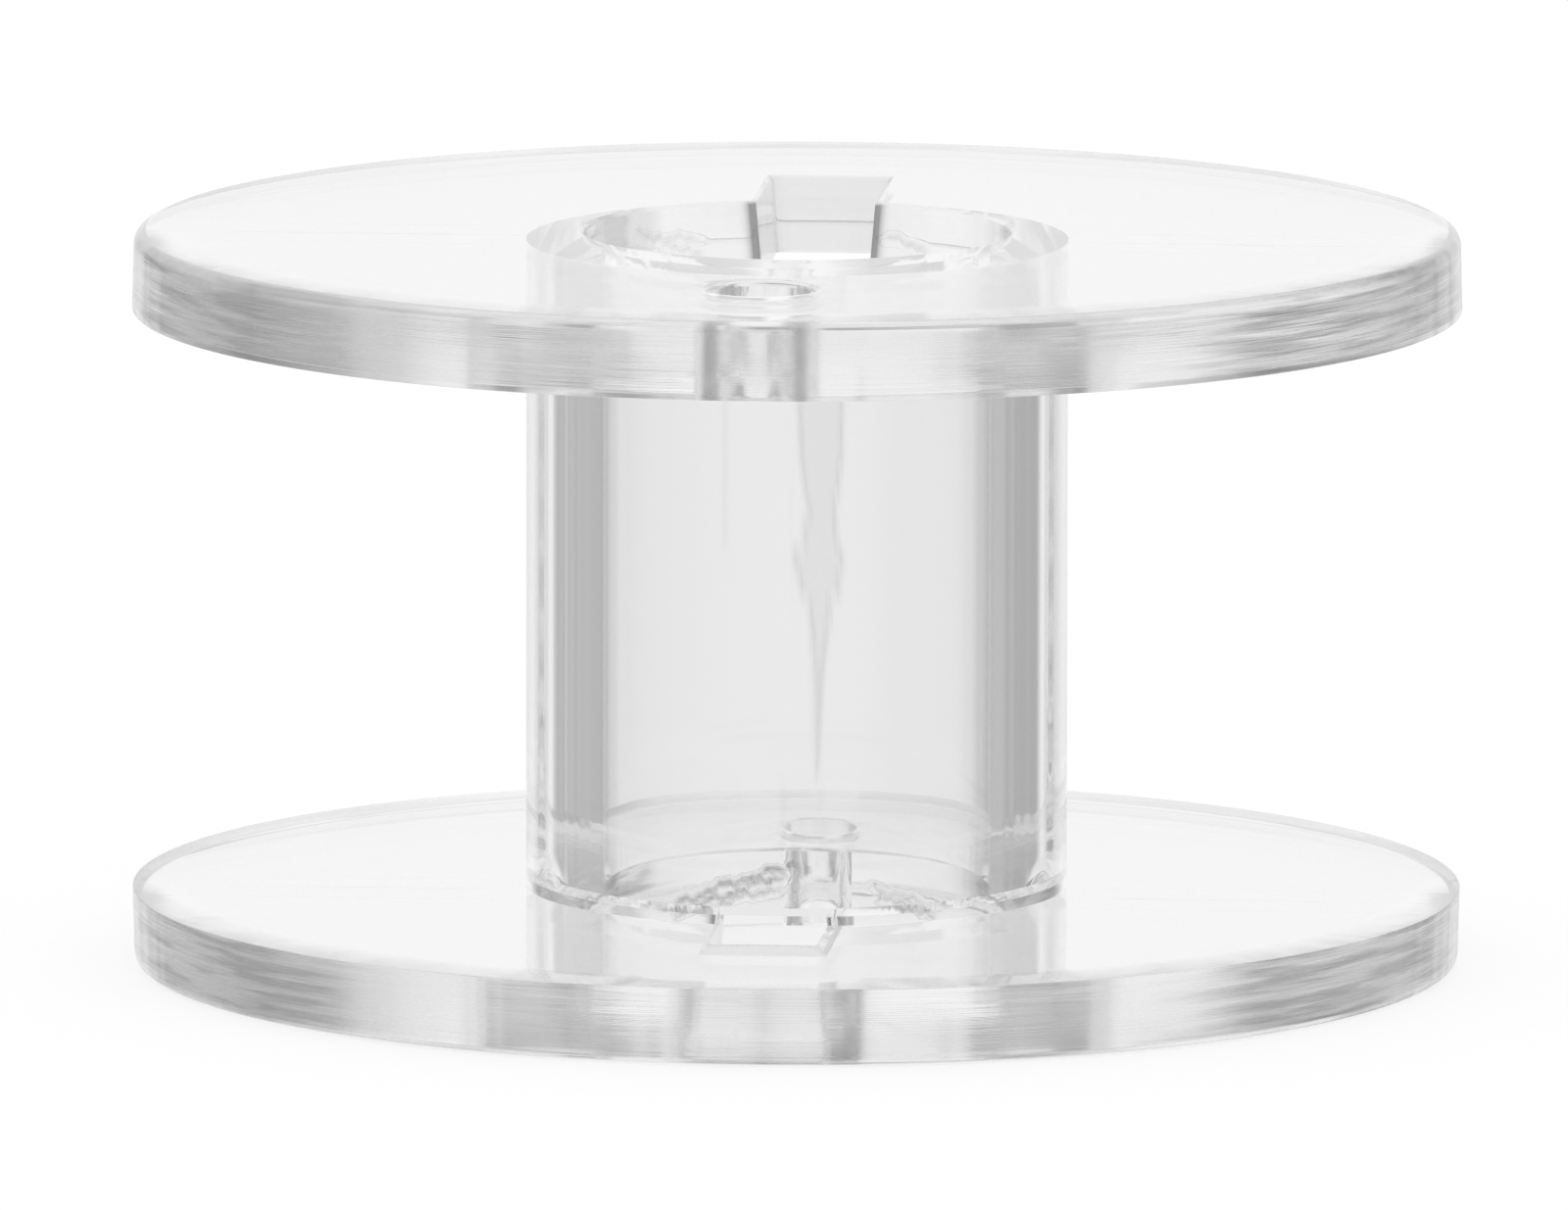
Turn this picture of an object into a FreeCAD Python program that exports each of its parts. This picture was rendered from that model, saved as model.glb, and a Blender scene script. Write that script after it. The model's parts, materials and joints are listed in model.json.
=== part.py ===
"""A sewing machine bobbin, moulded in one piece from clear plastic.

Two round flanges stand at the ends of a hollow hub. The thread winds between them. A spindle goes through
the bore, a key on the drive fits the slot that opens from the bore through each flange, and the end of the
thread is held through the round hole opposite that slot.
The axis is Z and the lower flange rests on Z = 0. The upper slot points to +Y and the lower one to -Y, so the
part is the same when it is turned end for end about X.
"""
import FreeCAD, Part
import os
import Sketcher

# Driving sizes, in millimetres, and in degrees for the drafts.
SIZES = {
    "overall_height": 11.4,
    "flange_diameter": 20.5,
    "flange_thickness": 1.2,
    "rim_draft": 1.5,
    "rim_round": 0.2,
    "hub_diameter": 8.36,
    "bore_diameter": 6.0,
    "mouth_diameter": 6.6,
    "mouth_depth": 1.25,
    "mouth_lead": 0.1,
    "mouth_break": 0.05,
    "slot_width": 1.87,
    "slot_reach": 6.1,
    "slot_draft": 5.0,
    "slot_notch": 0.15,
    "hole_diameter": 1.66,
    "hole_offset": 6.5,
    "hole_break": 0.08,
}

# Corners of half the section, as radius and height, from the lower mouth outwards and round to the bore.
# The rim leans in towards each outer face, so that the mould's two halves draw off it.
RIM_LEAN = "flange_thickness * tan(rim_draft)"
SECTION = [
    ("mouth_diameter / 2", "0"),
    (f"flange_diameter / 2 - {RIM_LEAN}", "0"),
    ("flange_diameter / 2", "flange_thickness"),
    ("hub_diameter / 2", "flange_thickness"),
    ("hub_diameter / 2", "overall_height - flange_thickness"),
    ("flange_diameter / 2", "overall_height - flange_thickness"),
    (f"flange_diameter / 2 - {RIM_LEAN}", "overall_height"),
    ("mouth_diameter / 2", "overall_height"),
    ("mouth_diameter / 2", "overall_height - mouth_depth"),
    ("bore_diameter / 2", "overall_height - mouth_depth - mouth_lead"),
    ("bore_diameter / 2", "mouth_depth + mouth_lead"),
    ("mouth_diameter / 2", "mouth_depth"),
]

# Corners of the cutter that makes the slot of one face, from the axis out to the slot's end.
UPPER_SLOT = [
    ("-slot_width / 2", "0"),
    ("slot_width / 2", "0"),
    ("slot_width / 2", "slot_reach"),
    ("-slot_width / 2", "slot_reach"),
]
LOWER_SLOT = [
    ("-slot_width / 2", "-slot_reach"),
    ("slot_width / 2", "-slot_reach"),
    ("slot_width / 2", "0"),
    ("-slot_width / 2", "0"),
]

SKETCH_ORIGIN = (-1, 1)
CIRCLE_CENTRE = 3
NODE = "bobbin"


def make_sheet(doc):
    """Puts each driving size in a row of the sheet, its name beside its value."""
    sheet = doc.addObject("Spreadsheet::Sheet", "sizes")
    for row, (alias, value) in enumerate(SIZES.items(), start=1):
        sheet.set(f"A{row}", alias)
        sheet.set(f"B{row}", str(value))
        sheet.setAlias(f"B{row}", alias)
    doc.recompute()
    return sheet


def in_sheet(formula):
    """The formula as another object writes it, with the sheet's name before each size."""
    for alias in SIZES:
        formula = formula.replace(alias, f"sizes.{alias}")
    return formula


def blank_sketch(body, name, plane_role, height):
    """An empty sketch on one of the body's own planes, raised to a height."""
    sketch = body.newObject("Sketcher::SketchObject", name)
    plane = next(item for item in body.Origin.OriginFeatures if item.Role == plane_role)
    sketch.AttachmentSupport = [(plane, "")]
    sketch.MapMode = "FlatFace"
    if height != "0":
        sketch.setExpression("AttachmentOffset.Base.z", in_sheet(height))
    return sketch


def pin_down(sketch, sheet, geometry, point, formulas):
    """Ties a point of the sketch to the sizes, across and along."""
    for direction, formula in zip("XY", formulas):
        value = sheet.evalExpression(formula)
        pin = sketch.addConstraint(
            Sketcher.Constraint(f"Distance{direction}", *SKETCH_ORIGIN, geometry, point, value))
        if formula != "0":
            sketch.setExpression(f"Constraints[{pin}]", in_sheet(formula))


def polygon_sketch(body, name, plane_role, height, sheet, corners):
    """Draws a closed polygon, and ties each corner to the sizes."""
    sketch = blank_sketch(body, name, plane_role, height)
    points = [FreeCAD.Vector(sheet.evalExpression(x), sheet.evalExpression(y), 0) for x, y in corners]
    count = len(points)
    for i in range(count):
        sketch.addGeometry(Part.LineSegment(points[i], points[(i + 1) % count]), False)
    for i in range(count):
        sketch.addConstraint(Sketcher.Constraint("Coincident", i, 2, (i + 1) % count, 1))
    for i, formulas in enumerate(corners):
        pin_down(sketch, sheet, i, 1, formulas)
    return sketch


def circle_sketch(body, name, plane_role, height, sheet, centre, diameter):
    """Draws a circle, and ties its centre and its diameter to the sizes."""
    sketch = blank_sketch(body, name, plane_role, height)
    middle = FreeCAD.Vector(sheet.evalExpression(centre[0]), sheet.evalExpression(centre[1]), 0)
    size = sheet.evalExpression(diameter)
    circle = sketch.addGeometry(Part.Circle(middle, FreeCAD.Vector(0, 0, 1), size / 2), False)
    pin_down(sketch, sheet, circle, CIRCLE_CENTRE, centre)
    pin = sketch.addConstraint(Sketcher.Constraint("Diameter", circle, size))
    sketch.setExpression(f"Constraints[{pin}]", in_sheet(diameter))
    return sketch


def face_edges(shape, radius, heights):
    """Names of the circular edges with this radius at these heights."""
    found = []
    for number, edge in enumerate(shape.Edges, start=1):
        if not isinstance(edge.Curve, Part.Circle):
            continue
        at_height = any(abs(edge.Curve.Center.z - height) < 1e-6 for height in heights)
        if at_height and abs(edge.Curve.Radius - radius) < 1e-6:
            found.append(f"Edge{number}")
    if len(found) != len(heights):
        raise RuntimeError(f"found {len(found)} circles of radius {radius}, and not {len(heights)}")
    return found


def dress_edges(body, kind, name, base, edges, size_property, alias):
    """Rounds or breaks the named edges of the feature before it."""
    dressing = body.newObject(f"PartDesign::{kind}", name)
    dressing.Base = (base, edges)
    dressing.setExpression(size_property, f"sizes.{alias}")
    return dressing


def cut_pocket(doc, body, name, outline, depth, draft, points_up):
    """Cuts an outline into the body to a depth, its sides closing in by the draft."""
    before = body.Shape.Volume
    pocket = body.newObject("PartDesign::Pocket", name)
    pocket.Profile = outline
    pocket.Type = "Length"
    pocket.setExpression("Length", in_sheet(depth))
    if draft != "0":
        pocket.setExpression("TaperAngle", in_sheet(draft))
    pocket.Reversed = points_up
    doc.recompute()
    if not body.Shape.Volume < before:
        raise RuntimeError(f"{name} cut nothing")


def open_flange(doc, body, sheet, name, height, slot, hole_centre, points_up):
    """Cuts one flange's slot, which goes a little way into the hub's end, and its thread hole opposite."""
    outline = polygon_sketch(body, f"{name}_slot_outline", "XY_Plane", height, sheet, slot)
    cut_pocket(doc, body, f"{name}_slot", outline, "flange_thickness + slot_notch", "-slot_draft", points_up)
    outline = circle_sketch(body, f"{name}_hole_outline", "XY_Plane", height, sheet, hole_centre, "hole_diameter")
    cut_pocket(doc, body, f"{name}_hole", outline, "2 * flange_thickness", "0", points_up)


def make_bobbin(doc, sheet):
    """The whole moulding: a turned section, its edges, then the slot and the thread hole of each flange."""
    body = doc.addObject("PartDesign::Body", NODE)
    body.Label = NODE
    section = polygon_sketch(body, "section", "XZ_Plane", "0", sheet, SECTION)
    spool = body.newObject("PartDesign::Revolution", "spool")
    spool.Profile = section
    spool.ReferenceAxis = (section, ["V_Axis"])
    spool.Angle = 360.0
    doc.recompute()

    ends = [0.0, sheet.overall_height]
    rim_radius = sheet.evalExpression(f"flange_diameter / 2 - {RIM_LEAN}")
    rims = face_edges(spool.Shape, rim_radius, ends)
    rounding = dress_edges(body, "Fillet", "rim_rounding", spool, rims, "Radius", "rim_round")
    doc.recompute()
    mouths = face_edges(rounding.Shape, sheet.mouth_diameter / 2, ends)
    dress_edges(body, "Chamfer", "mouth_breaks", rounding, mouths, "Size", "mouth_break")
    doc.recompute()

    open_flange(doc, body, sheet, "lower", "0", LOWER_SLOT, ("0", "hole_offset"), True)
    open_flange(doc, body, sheet, "upper", "overall_height", UPPER_SLOT, ("0", "-hole_offset"), False)
    inner_faces = [sheet.flange_thickness, sheet.overall_height - sheet.flange_thickness]
    rims = face_edges(body.Shape, sheet.hole_diameter / 2, ends + inner_faces)
    dress_edges(body, "Chamfer", "hole_breaks", body.Tip, rims, "Size", "hole_break")
    doc.recompute()
    return body


def check_built(doc, body):
    """Stops before anything is written if a feature failed or the solid isn't one sound piece."""
    failed = [item.Name for item in doc.Objects if {"Invalid", "Error"} & set(item.State)]
    if failed:
        raise RuntimeError(f"these did not build: {', '.join(failed)}")
    if body.Shape.isNull() or not body.Shape.isValid() or len(body.Shape.Solids) != 1:
        raise RuntimeError(f"{body.Label} is not one valid solid")


document = FreeCAD.newDocument("sewing_bobbin")
size_sheet = make_sheet(document)
bobbin = make_bobbin(document, size_sheet)
check_built(document, bobbin)
os.makedirs("parts", exist_ok=True)
bobbin.Shape.exportStep(f"parts/{bobbin.Label}.step")
print(f"{bobbin.Label}: {bobbin.Shape.Volume:.2f} cubic mm")
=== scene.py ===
import json
import math

import bmesh
import bpy
import numpy as np
from mathutils import Matrix, Vector


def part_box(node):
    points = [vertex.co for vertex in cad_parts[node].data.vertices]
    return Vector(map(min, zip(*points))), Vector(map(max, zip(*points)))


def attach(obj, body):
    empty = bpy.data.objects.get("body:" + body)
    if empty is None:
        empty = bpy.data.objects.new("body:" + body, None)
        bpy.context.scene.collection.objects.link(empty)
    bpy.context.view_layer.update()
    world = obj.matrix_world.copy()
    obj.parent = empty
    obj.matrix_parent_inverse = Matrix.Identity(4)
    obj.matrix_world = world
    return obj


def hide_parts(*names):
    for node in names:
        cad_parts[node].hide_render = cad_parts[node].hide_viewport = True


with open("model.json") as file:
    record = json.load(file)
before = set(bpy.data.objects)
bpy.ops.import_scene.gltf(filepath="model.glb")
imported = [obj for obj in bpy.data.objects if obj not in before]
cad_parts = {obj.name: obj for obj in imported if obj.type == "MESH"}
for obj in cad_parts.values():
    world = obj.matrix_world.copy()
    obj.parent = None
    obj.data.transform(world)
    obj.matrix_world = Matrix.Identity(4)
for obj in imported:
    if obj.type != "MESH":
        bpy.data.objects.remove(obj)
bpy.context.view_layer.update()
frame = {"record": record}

# The bobbin is one clear plastic moulding: two flanges on a hollow hub, each flange with a drive slot open
# to the bore and a round thread hole opposite. It is shot in a polished mould whose halves meet on the XZ
# plane, and a core pin from each end makes the bore, the slots and the holes.
mm = 0.001
top_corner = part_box("bobbin")[1]
flange_radius = top_corner.x
height = top_corner.z
bore_mount = next(mount for mount in frame["record"]["mounts"] if mount["name"] == "bore")
bore_radius = bore_mount["dims"]["r_mm"] * mm
flange_thickness = 1.2 * mm
rim_draft = math.radians(1.5)
rim_round = 0.2 * mm
edge_round = 0.015 * mm
hub_radius = 4.18 * mm
mouth_radius = 3.3 * mm
mouth_depth = 1.25 * mm
mouth_lead = 0.1 * mm
edge_break = 0.05 * mm
slot_width = 1.87 * mm
slot_reach = 6.1 * mm
slot_draft = math.radians(5)
slot_notch = 0.15 * mm
slot_depth = flange_thickness + slot_notch
slot_corner = 0.05 * mm
post_round = 0.13 * mm
hole_radius = 0.83 * mm
hole_offset = 6.5 * mm
hole_round = 0.09 * mm
hole_inner_round = 0.02 * mm

# Grid columns of a quarter turn, by what lies inside them, from the slot's middle round to the open bore.
end_columns = 6
corner_columns = 5
flank_columns = 6
wall_columns = 4
post_columns = 6
open_columns = 76
across_columns = end_columns + corner_columns + flank_columns
side_columns = wall_columns + post_columns
last_full_share = 0.996

# The thread hole sits in a sector of the flange between these two radii.
hole_inside = 5.0 * mm
hole_outside = 8.0 * mm
arc_columns = 24
outer_rows = 14
inner_rows = outer_rows - side_columns
patch_rows = 6
bend_steps = 5

# Rows along the axis: through the flange, down the bore and down the hub.
through_rows = 24
bore_rows = 20
hub_rows = 12


def shares(count):
    """Even steps from 0 to 1."""
    return np.linspace(0, 1, count + 1)


def open_shares():
    """Even steps from 0 to 1 whose last one is short, so that the parting line on the X axis is thin."""
    return np.append(np.linspace(0, last_full_share, open_columns), 1.0)


def broken(depth):
    """How far an edge of the outer face is broken back at this depth: a 45 degree slope."""
    return np.clip(edge_break - depth, 0, None)


def slot_half(depth):
    """Half the slot's width: it narrows with depth by the tangent of the draft, below its broken edge."""
    return slot_width / 2 - depth * math.tan(slot_draft) + broken(depth)


def slot_end(depth):
    """How far from the axis the slot's end wall stands: it leans in by the same draft."""
    return slot_reach - depth * math.tan(slot_draft) + broken(depth)


def mouth_wall(depth):
    """Radius of the bore from a mouth inwards: a broken edge, a wide wall, a short cone, then the bore."""
    cone = np.clip((depth - mouth_depth) / mouth_lead, 0, 1)
    return mouth_radius + broken(depth) + (bore_radius - mouth_radius) * cone


def beside(radius, half):
    """Where a line at x = half meets a circle: y is the root of radius squared less half squared."""
    return np.sqrt(radius ** 2 - half ** 2)


def polar(radius, angle, z):
    """Points from the axis at an angle turned from +Y towards +X: x = r sin a, y = r cos a."""
    radius, angle, z = np.broadcast_arrays(radius, angle, z)
    return np.stack([radius * np.sin(angle), radius * np.cos(angle), z], -1)


def flat(x, y, z):
    """Points from plain coordinates."""
    return np.stack(np.broadcast_arrays(x, y, z), -1)


def ray_angle(points):
    """The angle of points about the axis, turned from +Y towards +X."""
    return np.arctan2(points[..., 0], points[..., 1])


def slot_sides(depths):
    """Two grids, depth by run. The first goes along the slot's end, round its corner, a quarter circle,
    and along the flank to the hub's circle. The second goes on to the bore and round the post's edge."""
    depth = np.atleast_1d(depths)[:, None]
    half, reach = slot_half(depth), slot_end(depth)
    end = flat((half - slot_corner) * shares(end_columns), reach, depth)
    turn = shares(corner_columns) * math.pi / 2
    bend_x = half - slot_corner * (1 - np.sin(turn))
    bend_y = reach - slot_corner * (1 - np.cos(turn))
    bend = flat(bend_x, bend_y, depth)
    hub_y = beside(hub_radius, half)
    flank_start = reach - slot_corner
    flank = flat(half, flank_start + (hub_y - flank_start) * shares(flank_columns), depth)
    post_x = half + post_round
    post_y = beside(mouth_wall(depth) + post_round, post_x)
    wall = flat(half, hub_y + (post_y - hub_y) * shares(wall_columns), depth)
    turn = shares(post_columns) * np.arctan2(post_y, post_x)
    post = flat(post_x - post_round * np.cos(turn), post_y - post_round * np.sin(turn), depth)
    outer_run = np.concatenate([end, bend[:, 1:], flank[:, 1:]], 1)
    inner_run = np.concatenate([wall, post[:, 1:]], 1)
    return outer_run, inner_run


def rim_profile():
    """Half a flange's edge as radius and height: an arc from the flat face on to the drafted wall, the
    wall, and a tight arc over to the inner face."""
    outer_corner = flange_radius - flange_thickness * math.tan(rim_draft)
    centre = outer_corner - rim_round * (1 - math.sin(rim_draft)) / math.cos(rim_draft)
    turn = np.linspace(-math.pi / 2, -rim_draft, 11)
    arc = np.stack([centre + rim_round * np.cos(turn), rim_round + rim_round * np.sin(turn)], -1)
    inner_centre = np.array([flange_radius - edge_round, flange_thickness - edge_round])
    turn = np.linspace(-rim_draft, math.pi / 2, 6)
    inner_arc = inner_centre + edge_round * np.stack([np.cos(turn), np.sin(turn)], -1)
    wall = arc[-1] + (inner_arc[0] - arc[-1]) * shares(8)[1:-1, None]
    return np.concatenate([arc, wall, inner_arc])


def face_radii(start, rim_radius, rows):
    """Radii of a face's rows: two steps out to the hole's sector, even rows across it, two to the rim."""
    inside = start + (hole_inside - start) * shares(2)
    across = hole_inside + (hole_outside - hole_inside) * shares(rows)
    outside = hole_outside + (rim_radius - hole_outside) * shares(2)
    return np.concatenate([inside, across[1:], outside[1:]])


def slot_flange(outer_edge, inner_edge):
    """Outer face, rim and inner face of the slot's side in one grid. Each column runs out along its own ray
    from the outer face's edge, round the rim and back in, and its angle slides from the outer edge's to the
    inner's."""
    rim = rim_profile()
    outer_radius, outer_angle = np.hypot(outer_edge[:, 0], outer_edge[:, 1]), ray_angle(outer_edge)
    inner_radius, inner_angle = np.hypot(inner_edge[:, 0], inner_edge[:, 1]), ray_angle(inner_edge)
    radii = face_radii(outer_radius[-1], rim[0, 0], outer_rows)
    outer_share = ((radii - radii[0]) / (radii[-1] - radii[0]))[:-1, None]
    outer_face = polar(outer_radius + (rim[0, 0] - outer_radius) * outer_share, outer_angle, 0.0)
    slide = outer_angle + (inner_angle - outer_angle) * shares(len(rim) - 1)[:, None]
    edge = polar(rim[:, :1], slide, rim[:, 1:])
    radii = face_radii(inner_radius[-1], rim[-1, 0], inner_rows)[::-1]
    inner_share = ((radii - radii[0]) / (radii[-1] - radii[0]))[1:, None]
    inner_reach = rim[-1, 0] + (inner_radius - rim[-1, 0]) * inner_share
    inner_face = polar(inner_reach, inner_angle, flange_thickness)
    return np.concatenate([outer_face, edge, inner_face])


def hole_patch(far_angle, rows, columns, edge_radius, z):
    """The face round the thread hole: straight lines from the hole's edge to the sides of its sector."""
    outside = polar(hole_outside, far_angle * shares(arc_columns), z)
    beside_it = polar(hole_outside + (hole_inside - hole_outside) * shares(rows)[1:], far_angle, z)
    inside = polar(hole_inside, far_angle * shares(columns)[-2::-1], z)
    border = np.concatenate([outside, beside_it, inside])
    turn = math.pi * shares(len(border) - 1)
    edge = flat(edge_radius * np.sin(turn), hole_offset + edge_radius * np.cos(turn), z)
    return edge + (border - edge) * shares(patch_rows)[:, None, None]


def hole_flange(mouth_angles, hub_angles, face_angles):
    """Grids of the hole's side: the hole's wall with its rounded edges, which are quarter circles, and for
    each face the part inside the hole's sector, the part beside it, the part outside it and the patch round
    the hole, then the rim."""
    rim = rim_profile()
    far_angle = face_angles[0]
    rim_angles = np.concatenate([far_angle * shares(arc_columns), face_angles[1:]])
    grids = [polar(rim[:, :1], rim_angles, rim[:, 1:])]
    inner_columns = across_columns + side_columns
    faces = [
        (mouth_wall(0.0), mouth_angles, across_columns, rim[0, 0], outer_rows, 0.0, hole_round),
        (hub_radius, hub_angles, inner_columns, rim[-1, 0], inner_rows, flange_thickness, hole_inner_round),
    ]
    for start, start_angles, columns, rim_radius, rows, z, edge in faces:
        radii = face_radii(start, rim_radius, rows)
        sector_angles = np.concatenate([far_angle * shares(columns), face_angles[1:]])
        slide = start_angles + (sector_angles - start_angles) * shares(2)[:, None]
        grids.append(polar(radii[:3, None], slide, z))
        grids.append(polar(radii[2:-2, None], face_angles, z))
        grids.append(polar(radii[-3:, None], rim_angles, z))
        grids.append(hole_patch(far_angle, rows, columns, hole_radius + edge, z))
    turn = math.pi * shares(arc_columns + outer_rows + across_columns)
    bend = shares(bend_steps) * math.pi / 2
    fall, lean = 1 - np.cos(bend), 1 - np.sin(bend)
    wall_depth = np.concatenate([hole_round * fall, flange_thickness - hole_inner_round * fall[::-1]])
    wall_radius = hole_radius + np.concatenate([hole_round * lean, hole_inner_round * lean[::-1]])
    wall_radius, wall_depth = wall_radius[:, None], wall_depth[:, None]
    grids.append(flat(wall_radius * np.sin(turn), hole_offset + wall_radius * np.cos(turn), wall_depth))
    return grids


def slot_floor(hub_arc, bore_arc, side):
    """The slot's floor on the hub's end: a sheet between an arc of the hub and an arc of the bore, drawn
    over towards the slot's side by as much as the side leaves the straight line between the arcs' ends."""
    rows = shares(len(side) - 1)[:, None, None]
    columns = shares(len(hub_arc) - 1)[None, :, None]
    across = hub_arc * (1 - rows) + bore_arc * rows
    straight_side = hub_arc[-1:] * (1 - rows) + bore_arc[-1:] * rows
    return across + columns * (side[:, None] - straight_side)


def bobbin_grids():
    """The surfaces of two eighths of the bobbin, from its lower face to mid height: one with half a slot,
    and one with half a thread hole."""
    middle = height / 2
    through = np.append(0.0, np.linspace(edge_break, flange_thickness, through_rows))
    notch = np.array([flange_thickness, mouth_depth, slot_depth])
    window = np.concatenate([through, notch[1:]])
    outer_run, inner_run = slot_sides(window)
    flange_run = outer_run[:len(through)]
    bore_start = ray_angle(inner_run[:, -1])[:, None]
    hub_start = ray_angle(inner_run[:, 0])[:, None]
    open_angles = bore_start + (math.pi / 2 - bore_start) * open_shares()
    far_angle = open_angles[0, 0]

    def hub_angles(start):
        """Angles round the hub: even steps past the slot's side, then those of the open bore."""
        wall = start + (far_angle - start) * shares(side_columns)
        ring = np.repeat(open_angles[:1, 1:], len(start), 0)
        return np.concatenate([wall, ring], 1)

    mouth_ring = polar(mouth_wall(window)[:, None], open_angles, window[:, None])
    outer_edge = np.concatenate([outer_run[0], inner_run[0, 1:], mouth_ring[0, 1:]])
    hub_ring = polar(hub_radius, hub_angles(hub_start[len(through) - 1:]), notch[:, None])
    inner_edge = np.concatenate([flange_run[-1], hub_ring[0, 1:]])

    bore_depths = np.linspace(slot_depth, middle, bore_rows)
    across = shares(across_columns)
    bore_angles = np.concatenate([across * bore_start[-1], open_angles[-1, 1:]])
    bore = polar(bore_radius, bore_angles, bore_depths[:, None])
    hub_depths = np.linspace(slot_depth, middle, hub_rows)
    full_hub_angles = np.concatenate([across * hub_start[-1], hub_angles(hub_start[-1:])[0, 1:]])
    hub = polar(hub_radius, full_hub_angles, hub_depths[:, None])
    floor = slot_floor(hub[0, :across_columns + 1], bore[0, :across_columns + 1], inner_run[-1])
    slot_side = slot_flange(outer_edge, inner_edge)
    slot_eighth = [slot_side, flange_run, inner_run, mouth_ring, hub_ring, bore, hub, floor]

    round_mouth = polar(mouth_wall(window)[:, None], bore_angles, window[:, None])
    hub_end = polar(hub_radius, full_hub_angles, notch[:, None])
    hole_side = hole_flange(bore_angles, full_hub_angles, open_angles[0])
    hole_eighth = hole_side + [round_mouth, hub_end, bore, hub]
    return slot_eighth, hole_eighth


def join_grids(grids):
    """Points and four-cornered faces of several grids: each face joins four neighbours of its grid."""
    points, faces, count = [], [], 0
    for grid in grids:
        rows, columns = grid.shape[:2]
        index = count + np.arange(rows * columns).reshape(rows, columns)
        corners = [index[:-1, :-1], index[:-1, 1:], index[1:, 1:], index[1:, :-1]]
        faces.append(np.stack(corners, -1).reshape(-1, 4))
        points.append(grid.reshape(-1, 3))
        count += rows * columns
    return np.concatenate(points), np.concatenate(faces)


def mirrored(grids, mirrors):
    """Copies of one eighth, each mirrored about the middle of the bobbin by its three signs."""
    points, faces = join_grids(grids)
    centre = np.array([0, 0, height / 2])
    copies = (points - centre) * np.array(mirrors)[:, None, :] + centre
    offsets = np.arange(len(mirrors)) * len(points)
    return copies.reshape(-1, 3), (faces + offsets[:, None, None]).reshape(-1, 4)


slot_eighth, hole_eighth = bobbin_grids()
slot_points, slot_faces = mirrored(slot_eighth, [(1, -1, 1), (-1, -1, 1), (1, 1, -1), (-1, 1, -1)])
hole_points, hole_faces = mirrored(hole_eighth, [(1, 1, 1), (-1, 1, 1), (1, -1, -1), (-1, -1, -1)])
bobbin_mesh = bpy.data.meshes.new("clear_bobbin")
all_points = np.concatenate([slot_points, hole_points])
all_faces = np.concatenate([slot_faces, hole_faces + len(slot_points)])
bobbin_mesh.from_pydata(all_points, [], all_faces)
welded = bmesh.new()
welded.from_mesh(bobbin_mesh)
bmesh.ops.remove_doubles(welded, verts=welded.verts, dist=0.0005 * mm)
bmesh.ops.dissolve_degenerate(welded, edges=welded.edges, dist=0.0001 * mm)
bmesh.ops.recalc_face_normals(welded, faces=welded.faces)
welded.to_mesh(bobbin_mesh)
welded.free()

# The mould leaves marks on the finished surface: a fine parting line across the flanges, ragged flash round
# the mouths where the core pin meets the mould, and a flow mark. Painted shade darkens the slots and the
# hub.
touching = 0.002 * mm
parting_height = 0.001 * mm
parting_start = 4.5 * mm
parting_stop = 9.7 * mm
coords = np.empty(len(bobbin_mesh.vertices) * 3)
bobbin_mesh.vertices.foreach_get("co", coords)
coords = coords.reshape(-1, 3)
radius = np.hypot(coords[:, 0], coords[:, 1])
angle = ray_angle(coords)
lower = coords[:, 2] < height / 2
depth = np.where(lower, coords[:, 2], height - coords[:, 2])
outwards = np.where(lower, -1, 1)
on_parting = (np.abs(coords[:, 1]) < 0.0001 * mm) & (radius > parting_start) & (radius < parting_stop)
raised = np.where(depth < parting_height, parting_height, -parting_height)
coords[:, 2] += np.where(on_parting, raised * outwards, 0)


def flash_line(start, stop, low, high, phase):
    """A ragged line on a mouth's wall, as depth by angle, in degrees and millimetres: straight from its
    start to its stop with three sine waves on it. Gives the line's depth, and its fading to both ends."""
    along = (np.degrees(angle) - start) / (stop - start)
    long_wave = 0.5 * np.sin(23 * angle + phase)
    short_waves = 0.3 * np.sin(51 * angle + 2 * phase) + 0.3 * np.sin(97 * angle + phase)
    fade = np.clip(6 * along, 0, 1) * np.clip(6 * (1 - along), 0, 1)
    return (low + (high - low) * along + 0.07 * (long_wave + short_waves)) * mm, fade


def bell(distance, width):
    """A smooth bump: e to the minus square of distance over width."""
    return np.exp(-(distance / width) ** 2)


# Each line of flash: its mouth, first and last angle, depth at each, phase of its waves and height.
flash_width = 0.055 * mm
flash_full = 0.04 * mm
on_mouth = (np.abs(radius - mouth_radius) < touching) & (depth < 1.2 * mm)
flash = np.zeros(len(coords))
for in_lower, start, stop, low, high, phase, amount in [
    (True, -50, -3, 0.45, 1.02, 0.4, 0.055),
    (True, -46, -5, 0.3, 0.9, 2.1, 0.05),
    (True, -40, -8, 0.3, 0.7, 4.0, 0.035),
    (True, 17, 44, 0.72, 0.5, 1.3, 0.022),
    (True, 19, 42, 0.6, 0.35, 3.0, 0.03),
    (False, -56, -30, 0.4, 0.62, 0.9, 0.025),
    (False, -46, -30, 0.62, 0.78, 2.6, 0.025),
    (False, 18, 34, 0.55, 0.7, 1.7, 0.03),
]:
    line, fade = flash_line(start, stop, low, high, phase)
    ridge = amount * mm * fade * bell(depth - line, flash_width)
    flash = np.maximum(flash, np.where(on_mouth & (lower == in_lower), ridge, 0))
coords[:, :2] *= (1 - flash / np.maximum(radius, mm))[:, None]

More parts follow.
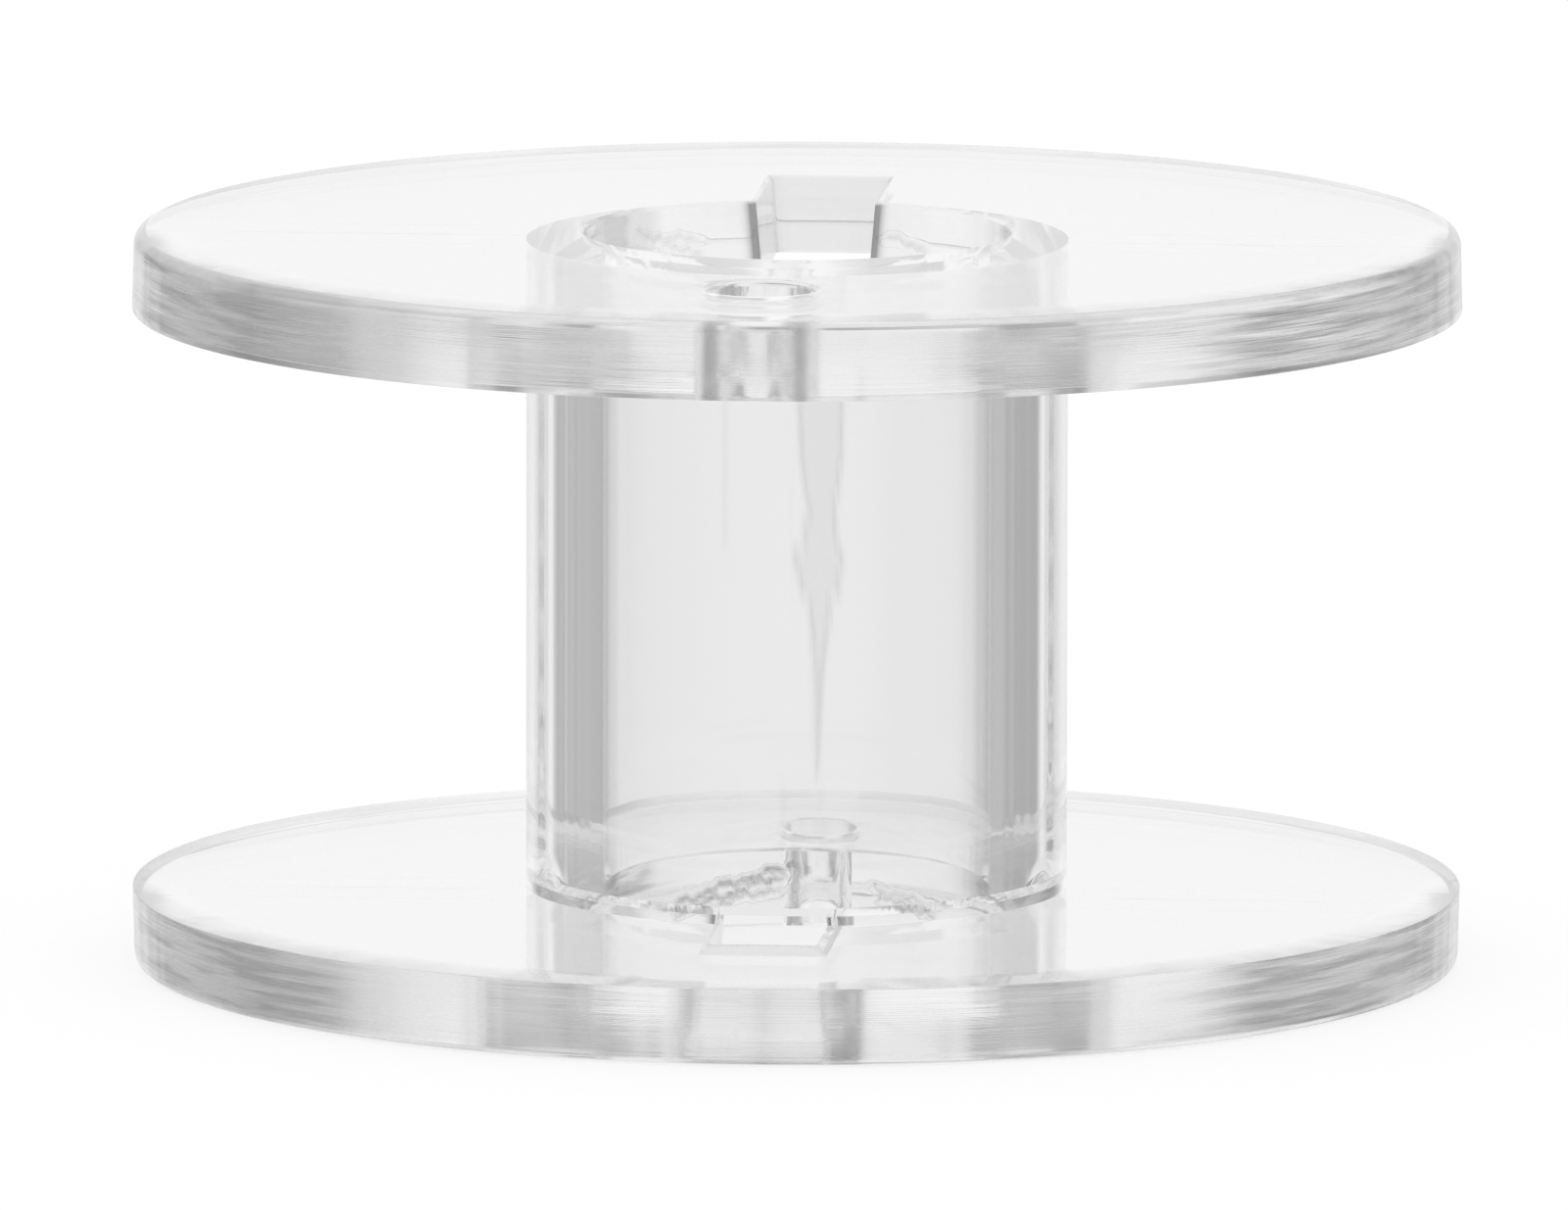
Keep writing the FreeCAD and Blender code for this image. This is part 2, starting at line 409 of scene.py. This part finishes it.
# The bore has a shallow sink along each side and fine ripples in front of it, in line with its axis.
sink_depth = 0.03 * mm
sink_width = 6.5
left_sink = 79
right_sink = 88
ripple_height = 0.0016 * mm
ripple_lead = 16
ripple_width = 9
from_front = np.degrees(np.arctan2(np.abs(coords[:, 0]), -coords[:, 1]))
past_sink = from_front - np.where(coords[:, 0] < 0, left_sink, right_sink)
sink = sink_depth * bell(past_sink, sink_width)
ripple = ripple_height * np.sin(np.radians(from_front) * 70) * bell(past_sink + ripple_lead, ripple_width)
on_bore = (np.abs(radius - bore_radius) < touching) & (depth > slot_depth + 0.05 * mm)
coords[:, :2] *= (1 + np.where(on_bore, sink + ripple, 0) / np.maximum(radius, mm))[:, None]

# Dull, dark places: painted shade at the posts' edges, the slots' corners and the slot walls, and the
# flash's darker tone.
half_slot = slot_half(depth)
post_x = np.abs(coords[:, 0]) - half_slot
post_y = coords[:, 1] * outwards - beside(mouth_wall(depth), half_slot)
end_gap = coords[:, 1] * outwards - slot_end(depth)
inside_slot = (depth > 0.02 * mm) & (depth < slot_depth)
# Painted shade: dark round the posts' edges and in the slots' corners.
post_shade = np.clip(1.7 * bell(np.hypot(post_x, post_y), 0.14 * mm), 0, 1)
corner_shade = 0.5 * bell(np.hypot(post_x, end_gap), 0.06 * mm)
flash_and_shade = np.where(inside_slot, np.maximum(post_shade, corner_shade), 0)
flash_and_shade = np.maximum(flash_and_shade, np.where(lower, 0.75, 0.4) * np.clip(flash / flash_full, 0, 1))
# Painted shade on the slot walls, deepest near the middle of the lower slots' end walls.
on_end = (np.abs(end_gap) < touching) & (post_x < 0)
on_flank = (np.abs(post_x) < touching) & (post_y > 0)
end_wall_shade = 0.13 + 0.2 * bell(coords[:, 0] - 0.1 * mm, 0.15 * mm)
slot_wall_shade = 0.15 + np.where(lower & on_end, end_wall_shade, 0)
on_slot_wall = inside_slot & (depth < 1.19 * mm) & (on_end | on_flank)
flash_and_shade = np.maximum(flash_and_shade, np.where(on_slot_wall, slot_wall_shade, 0))

# The flow mark runs down the hub from the upper flange. Its middle and half width go by height.
mark_bearing = math.radians(4.9)
mark_heights = [3.7, 5.2, 6.3, 6.6, 6.9, 7.5, 8.3, 10.2]
mark_halves = [0, 0.06, 0.17, 0.36, 0.36, 0.17, 0.3, 0.36]
across = coords[:, 0] * math.cos(mark_bearing) + coords[:, 1] * math.sin(mark_bearing)
up = coords[:, 2] / mm
drip_middle = np.interp(up, [3.7, 6.3, 6.9, 7.6, 10.2], [0.32, 0.36, 0.33, 0.38, 0.35]) * mm
drip_half = np.interp(up, mark_heights, mark_halves) * mm
drip_gap = np.abs(across - drip_middle) - drip_half
on_hub_wall = np.abs(radius - hub_radius) < touching
on_hub_front = on_hub_wall & (coords[:, 1] < 0)
flow_mark_and_shade = np.where(on_hub_front & (drip_half > 0), np.clip(0.5 - drip_gap / (0.06 * mm), 0, 1), 0)
drip_edge = np.where(on_hub_front & (drip_half > 0), bell(drip_gap, 0.05 * mm), 0)
thin_line = np.where(on_hub_front & (up > 6.9), bell(across + 1.1 * mm, 0.05 * mm), 0)
# Painted shade: the hub's wall away from the flanges is darkened all round, on top of the flow mark.
hub_shade = np.where(on_hub_wall & (depth > 1.3 * mm), 0.22, 0)
flow_mark_and_shade = 0.45 * flow_mark_and_shade + 0.55 * drip_edge + 0.3 * thin_line + hub_shade

bobbin_mesh.vertices.foreach_set("co", coords.ravel())
bobbin_mesh.update()
bobbin_mesh.shade_smooth()
bobbin_mesh.set_sharp_from_angle(angle=math.radians(25))
for name, values in (("flash_and_shade", flash_and_shade), ("flow_mark_and_shade", flow_mark_and_shade)):
    bobbin_mesh.attributes.new(name, "FLOAT", "POINT").data.foreach_set("value", values)
bobbin = bpy.data.objects.new("clear_bobbin", bobbin_mesh)
bpy.context.scene.collection.objects.link(bobbin)

plastic = bpy.data.materials.new("clear_plastic")
plastic.use_nodes = True
nodes, links = plastic.node_tree.nodes, plastic.node_tree.links
shader = nodes["Principled BSDF"]
shader.inputs["IOR"].default_value = 1.55
shader.inputs["Transmission Weight"].default_value = 1.0


def fill(socket, value):
    """Gives a socket a number, or links it to the output of another node."""
    if isinstance(value, (int, float)):
        socket.default_value = value
    else:
        links.new(value, socket)


def node_math(operation, first, second=0.0, third=0.0):
    """One step of arithmetic in the node tree that is being built."""
    node = nodes.new("ShaderNodeMath")
    node.operation = operation
    for socket, value in zip(node.inputs, (first, second, third)):
        fill(socket, value)
    return node.outputs[0]


def times(first, second):
    """First times second."""
    return node_math("MULTIPLY", first, second)


def s_curve(value, start, stop):
    """0 before start, 1 after stop and an S curve between them."""
    node = nodes.new("ShaderNodeMapRange")
    node.interpolation_type = "SMOOTHSTEP"
    links.new(value, node.inputs["Value"])
    node.inputs["From Min"].default_value = start
    node.inputs["From Max"].default_value = stop
    return node.outputs["Result"]


def stretch(value, rise_start, rise_stop, fall_start, fall_stop):
    """0, then 1 over a stretch and 0 again: one S curve less another."""
    rise = s_curve(value, rise_start, rise_stop)
    fall = s_curve(value, fall_start, fall_stop)
    return node_math("SUBTRACT", rise, fall)


def cloudy(x, y, z, detail):
    """Cloudy noise between 0 and 1 at a place given by three numbers."""
    spot = nodes.new("ShaderNodeCombineXYZ")
    for socket, value in zip(spot.inputs, (x, y, z)):
        links.new(value, socket)
    node = nodes.new("ShaderNodeTexNoise")
    node.inputs["Scale"].default_value = 1.0
    node.inputs["Detail"].default_value = detail
    links.new(spot.outputs[0], node.inputs["Vector"])
    return node.outputs["Fac"]


def attribute(name):
    """The number that the mesh carries under this name."""
    node = nodes.new("ShaderNodeAttribute")
    node.attribute_name = name
    return node.outputs["Fac"]


# Places on the plastic: the outer faces, and the wall of the rim, which faces sideways.
rim_mm = flange_radius / mm
middle_mm = height / mm / 2
place = nodes.new("ShaderNodeSeparateXYZ")
links.new(nodes.new("ShaderNodeTexCoord").outputs["Object"], place.inputs[0])
x_mm = node_math("DIVIDE", place.outputs["X"], mm)
y_mm = node_math("DIVIDE", place.outputs["Y"], mm)
z_mm = node_math("DIVIDE", place.outputs["Z"], mm)
radius_mm = node_math("SQRT", node_math("MULTIPLY_ADD", x_mm, x_mm, times(y_mm, y_mm)))
arc_mm = times(node_math("ARCTAN2", x_mm, y_mm), rim_mm)
from_middle = node_math("ABSOLUTE", node_math("SUBTRACT", z_mm, middle_mm))
outer_face = s_curve(from_middle, middle_mm - 0.03, middle_mm - 0.005)
normal = nodes.new("ShaderNodeSeparateXYZ")
links.new(nodes.new("ShaderNodeNewGeometry").outputs["True Normal"], normal.inputs[0])
lying = s_curve(node_math("ABSOLUTE", normal.outputs["Z"]), 0.75, 0.98)
on_rim = times(node_math("SUBTRACT", 1.0, lying), s_curve(radius_mm, rim_mm - 0.5, rim_mm - 0.25))

# Streaks lie along the rim, strongest towards its ends at the parting line.
streaks = cloudy(times(arc_mm, 0.45), times(z_mm, 7.0), radius_mm, 2.0)
streak_share = s_curve(node_math("ABSOLUTE", x_mm), 5.8, 7.8)
dark_streaks = times(s_curve(streaks, 0.42, 0.66), times(streak_share, on_rim))

# The plastic is a little duller on the outer faces, where the mould was only ground, and on the rim.
flash_and_shade_share = attribute("flash_and_shade")
cloud = cloudy(times(x_mm, 1.3), times(y_mm, 1.3), z_mm, 1.0)
roughness = node_math("MULTIPLY_ADD", outer_face, node_math("MULTIPLY_ADD", cloud, 0.04, 0.01), 0.02)
roughness = node_math("MULTIPLY_ADD", on_rim, node_math("MULTIPLY_ADD", cloud, 0.1, 0.07), roughness)
roughness = node_math("MULTIPLY_ADD", flash_and_shade_share, 0.1, roughness)
links.new(roughness, shader.inputs["Roughness"])

# The left side of the rims carries painted shade: deep in a short stretch, and fainter along the upper rim.
to_left = times(x_mm, -1.0)
deep_left_shade = times(stretch(to_left, 5.8, 6.5, 7.5, 8.2), streaks)
faint_left_shade = times(stretch(to_left, 4.6, 5.4, 7.6, 8.6), s_curve(z_mm, 5.0, 6.0))
left_rim_shade = node_math("MULTIPLY_ADD", deep_left_shade, 0.45, times(faint_left_shade, 0.25))

# The tone of the plastic: clear, and darker at the flash, the flow mark and the rim's streaks, with painted
# shade in the slots, on the hub and on the left side of the rims; the whole rim is a little darker.
clear_tone = 0.965
flash_and_shade_dark = 0.84
flow_mark_and_shade_dark = 0.35
streak_dark = 0.45
# The rim as a whole is a little darker.
rim_darkening = 0.07
darkest_rim = 0.5
rim_dark = times(node_math("ADD", left_rim_shade, rim_darkening), on_rim)
rim_dark = node_math("MINIMUM", node_math("MULTIPLY_ADD", dark_streaks, streak_dark, rim_dark), darkest_rim)
tone = node_math("MULTIPLY_ADD", flash_and_shade_share, -flash_and_shade_dark, clear_tone)
tone = node_math("MULTIPLY_ADD", attribute("flow_mark_and_shade"), -flow_mark_and_shade_dark, tone)
tone = node_math("SUBTRACT", tone, rim_dark)
tint = nodes.new("ShaderNodeCombineColor")
for channel in ("Red", "Green", "Blue"):
    links.new(tone, tint.inputs[channel])
links.new(tint.outputs[0], shader.inputs["Base Color"])

# The rim's relief: slow waves round it, the streaks, and the fine marks of the tool that turned the mould.
waves = cloudy(times(arc_mm, 1.6), times(z_mm, 0.12), radius_mm, 1.0)
tool_marks = cloudy(times(arc_mm, 0.3), times(z_mm, 80.0), radius_mm, 0.0)
relief = node_math("MULTIPLY_ADD", streaks, times(streak_share, 0.7), waves)
relief = times(node_math("MULTIPLY_ADD", tool_marks, 0.1, relief), on_rim)
bump = nodes.new("ShaderNodeBump")
bump.inputs["Strength"].default_value = 1.0
bump.inputs["Distance"].default_value = 0.02 * mm
links.new(relief, bump.inputs["Height"])
links.new(bump.outputs["Normal"], shader.inputs["Normal"])
bobbin_mesh.materials.append(plastic)
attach(bobbin, "root")
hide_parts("bobbin")

# The floor is a wide sheet of matt white board, just under the bobbin. It is a little brighter to the eye
# than its light alone makes it, so that it ends as white paper, and it keeps a trace of the bobbin's shadow.
floor_half = 2.0
floor_top = -0.02 * mm
paper_white = (0.9, 0.9, 0.9, 1)
glow_strength = 1.12
glow_share = 0.7
floor_signs = [(-1, -1), (1, -1), (1, 1), (-1, 1)]
floor_corners = [(x * floor_half, y * floor_half, floor_top) for x, y in floor_signs]
floor_mesh = bpy.data.meshes.new("floor")
floor_mesh.from_pydata(floor_corners, [], [(0, 1, 2, 3)])
floor = bpy.data.objects.new("floor", floor_mesh)
bpy.context.scene.collection.objects.link(floor)
board = bpy.data.materials.new("white_board")
board.use_nodes = True
nodes, links = board.node_tree.nodes, board.node_tree.links
nodes.clear()
paper = nodes.new("ShaderNodeBsdfDiffuse")
paper.inputs["Color"].default_value = paper_white
glow = nodes.new("ShaderNodeEmission")
glow.inputs["Color"].default_value = (1, 1, 1, 1)
glow.inputs["Strength"].default_value = glow_strength
light_path = nodes.new("ShaderNodeLightPath")
board_mix = nodes.new("ShaderNodeMixShader")
board_out = nodes.new("ShaderNodeOutputMaterial")
links.new(times(light_path.outputs["Is Camera Ray"], glow_share), board_mix.inputs[0])
links.new(paper.outputs[0], board_mix.inputs[1])
links.new(glow.outputs[0], board_mix.inputs[2])
links.new(board_mix.outputs[0], board_out.inputs["Surface"])
floor_mesh.materials.append(board)
floor.visible_transmission = False
floor.visible_glossy = False

# Light comes from rings of white screens round the table with grey gaps between them, and from white
# overhead. A lower row of screens stands in the gaps of the upper row, so every side has white behind it.
world = bpy.data.worlds.new("screens")
bpy.context.scene.world = world
world.use_nodes = True
world.cycles.sampling_method = "NONE"
nodes, links = world.node_tree.nodes, world.node_tree.links
nodes.clear()
direction = nodes.new("ShaderNodeSeparateXYZ")
links.new(nodes.new("ShaderNodeTexCoord").outputs["Generated"], direction.inputs[0])
bearing = node_math("ARCTAN2", direction.outputs["Y"], direction.outputs["X"])
slant = node_math("ABSOLUTE", direction.outputs["Z"])


def ring_light(angle, stops):
    """Brightness round a ring: straight lines between stops of bearing, in degrees, and brightness."""
    first, last = stops[0][0], stops[-1][0]
    node = nodes.new("ShaderNodeMapRange")
    links.new(angle, node.inputs["Value"])
    node.inputs["From Min"].default_value = math.radians(first)
    node.inputs["From Max"].default_value = math.radians(last)
    ramp = nodes.new("ShaderNodeValToRGB")
    links.new(node.outputs["Result"], ramp.inputs[0])
    elements = ramp.color_ramp.elements
    while len(elements) < len(stops):
        elements.new(0.5)
    for element, (degrees, brightness) in zip(elements, stops):
        element.position = (degrees - first) / (last - first)
        element.color = (brightness, brightness, brightness, 1)
    return ramp.outputs["Color"]


def folded(centre, half_turn):
    """Bearing measured from a centre, in degrees, and folded back each time it reaches the half turn."""
    from_centre = node_math("SUBTRACT", bearing, math.radians(centre))
    return node_math("PINGPONG", from_centre, math.radians(half_turn))


def mixed(share, low, high):
    """A blend from one brightness to another."""
    node = nodes.new("ShaderNodeMix")
    node.data_type = "FLOAT"
    for name, value in (("Factor", share), ("A", low), ("B", high)):
        fill(next(item for item in node.inputs if item.name == name and item.type == "VALUE"), value)
    return next(item for item in node.outputs if item.type == "VALUE")


# The main ring is what shows through the hub: white behind the bobbin, and grey on both sides of that.
# A screen stands over it behind the bobbin, and the other rings repeat round the table.
behind = node_math("WRAP", node_math("SUBTRACT", bearing, math.radians(94.9)), math.pi, -math.pi)
main_ring = ring_light(behind, [
    (-180, 1.0), (-145, 1.0), (-120, 0.6), (-100, 0.52), (-60, 0.55), (-51, 0.5), (-45, 0.44), (-41, 0.42),
    (-36, 0.44), (-32, 0.62), (-26, 0.9), (-20, 1.0), (-12, 1.0), (-8, 0.965), (-4, 0.945), (4, 0.945),
    (7, 0.98), (10, 1.0), (25, 1.0), (29, 0.94), (31, 0.8), (34, 0.6), (37, 0.47), (40, 0.54), (49, 0.52),
    (64, 0.5), (100, 0.48), (120, 0.6), (145, 1.0), (180, 1.0)])
table_ring = ring_light(folded(90, 45), [(0, 1.0), (18, 1.0), (30, 0.7), (40, 0.35), (45, 0.35)])
upper_ring = ring_light(folded(135, 90), [(0, 1.0), (18, 1.0), (30, 0.7), (40, 0.4), (90, 0.5)])
back_screen = ring_light(behind, [(-180, 0.0), (-60, 0.0), (-42, 0.92), (42, 0.92), (60, 0.0), (180, 0.0)])
over_main = node_math("MAXIMUM", upper_ring, back_screen)
overhead = 0.95
level = mixed(s_curve(slant, 0.09, 0.115), table_ring, main_ring)
level = mixed(s_curve(slant, 0.195, 0.225), level, over_main)
level = mixed(s_curve(slant, 0.37, 0.41), level, upper_ring)
level = mixed(s_curve(slant, 0.46, 0.56), level, overhead)
background = nodes.new("ShaderNodeBackground")
background.inputs["Color"].default_value = (1, 1, 1, 1)
links.new(level, background.inputs["Strength"])
world_out = nodes.new("ShaderNodeOutputWorld")
links.new(background.outputs[0], world_out.inputs["Surface"])

# The camera looks a little down on the bobbin through a long lens, from just beside the line of the slots.
# Light may bounce many times, because it runs to and fro inside the clear flanges.
photo_width = 1600
photo_height = 1235
camera_distance = 518.8 * mm
camera_elevation = math.radians(8.56)
camera_azimuth = math.radians(4.9)
camera_roll = math.radians(0.1)
pixels_per_metre = 66.115 / mm
centre_pixel = (813.0, 607.6)
light_bounces = 96
camera_data = bpy.data.cameras.new("camera")
camera_data.sensor_width = 36.0
camera_data.lens = pixels_per_metre * camera_distance * camera_data.sensor_width / photo_width
camera_data.shift_x = (photo_width / 2 - centre_pixel[0]) / photo_width
camera_data.shift_y = (centre_pixel[1] - photo_height / 2) / photo_width
camera_data.clip_start = 0.01
camera = bpy.data.objects.new("camera", camera_data)
bpy.context.scene.collection.objects.link(camera)
back = Vector((math.sin(camera_azimuth) * math.cos(camera_elevation),
               -math.cos(camera_azimuth) * math.cos(camera_elevation),
               math.sin(camera_elevation)))
level_view = (-back).to_track_quat("-Z", "Y").to_matrix().to_4x4()
camera_place = Matrix.Translation(Vector((0, 0, height / 2)) + back * camera_distance)
camera.matrix_world = camera_place @ level_view @ Matrix.Rotation(camera_roll, 4, "Z")
bpy.context.scene.camera = camera
bpy.context.scene.view_settings.view_transform = "Standard"
bpy.context.scene.cycles.max_bounces = light_bounces
bpy.context.scene.cycles.transmission_bounces = light_bounces
bpy.context.scene.cycles.glossy_bounces = light_bounces
